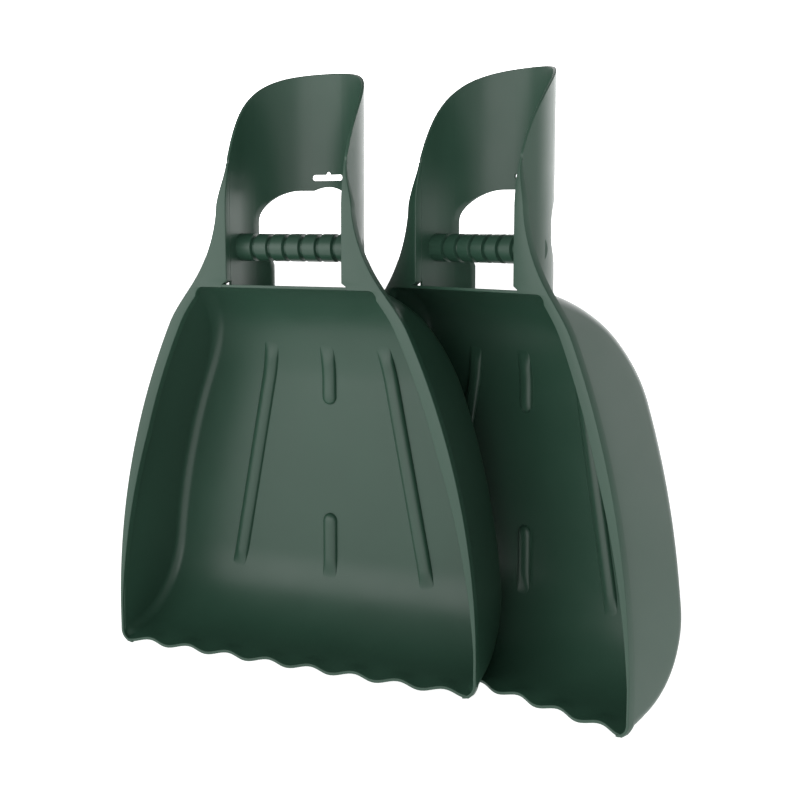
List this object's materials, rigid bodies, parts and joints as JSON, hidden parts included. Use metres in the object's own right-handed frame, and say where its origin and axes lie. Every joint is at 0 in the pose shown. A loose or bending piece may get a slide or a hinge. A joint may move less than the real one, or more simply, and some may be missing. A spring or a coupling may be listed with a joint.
{
  "type": "leaf grabber hands",
  "caption": "Pair of dark green plastic leaf grabber hands, each a deep scoop with a toothed lip, a grip bar and a half-round forearm cuff.",
  "frame": {"origin": "centre of the left hand's hanging slot, in the middle of the cuff's back wall", "axes": "+X across the left hand towards the right one, +Y from the left hand's mouth to its back, +Z from the teeth to the cuff"},
  "size_m": [0.5175, 0.2012, 0.5175],
  "materials": {
    "green_plastic": "semi-gloss, moulded"
  },
  "bodies": {
    "left_hand": {"left_floor": "green_plastic", "left_lower_curve": "green_plastic", "left_upper_curve": "green_plastic", "left_side_wall_outer": "green_plastic", "left_side_wall_inner": "green_plastic", "left_rim_outer": "green_plastic", "left_rim_inner": "green_plastic", "left_toothed_lip": "green_plastic", "left_cuff_back": "green_plastic", "left_cuff_side_outer": "green_plastic", "left_cuff_side_inner": "green_plastic", "left_grip_bar": "green_plastic", "left_rib_lower": "green_plastic", "left_rib_upper": "green_plastic", "left_rib_outer": "green_plastic", "left_rib_inner": "green_plastic"},
    "right_hand": {"right_floor": "green_plastic", "right_lower_curve": "green_plastic", "right_upper_curve": "green_plastic", "right_side_wall_outer": "green_plastic", "right_side_wall_inner": "green_plastic", "right_rim_outer": "green_plastic", "right_rim_inner": "green_plastic", "right_toothed_lip": "green_plastic", "right_cuff_back": "green_plastic", "right_cuff_side_outer": "green_plastic", "right_cuff_side_inner": "green_plastic", "right_grip_bar": "green_plastic", "right_rib_lower": "green_plastic", "right_rib_upper": "green_plastic", "right_rib_outer": "green_plastic", "right_rib_inner": "green_plastic"}
  },
  "joints": [
    {"name": "right_hand_apart", "type": "slide", "parent": "left_hand", "child": "right_hand", "axis": [0.3633, 0.9317, 0], "range_m": [0, 0.25]}
  ]
}
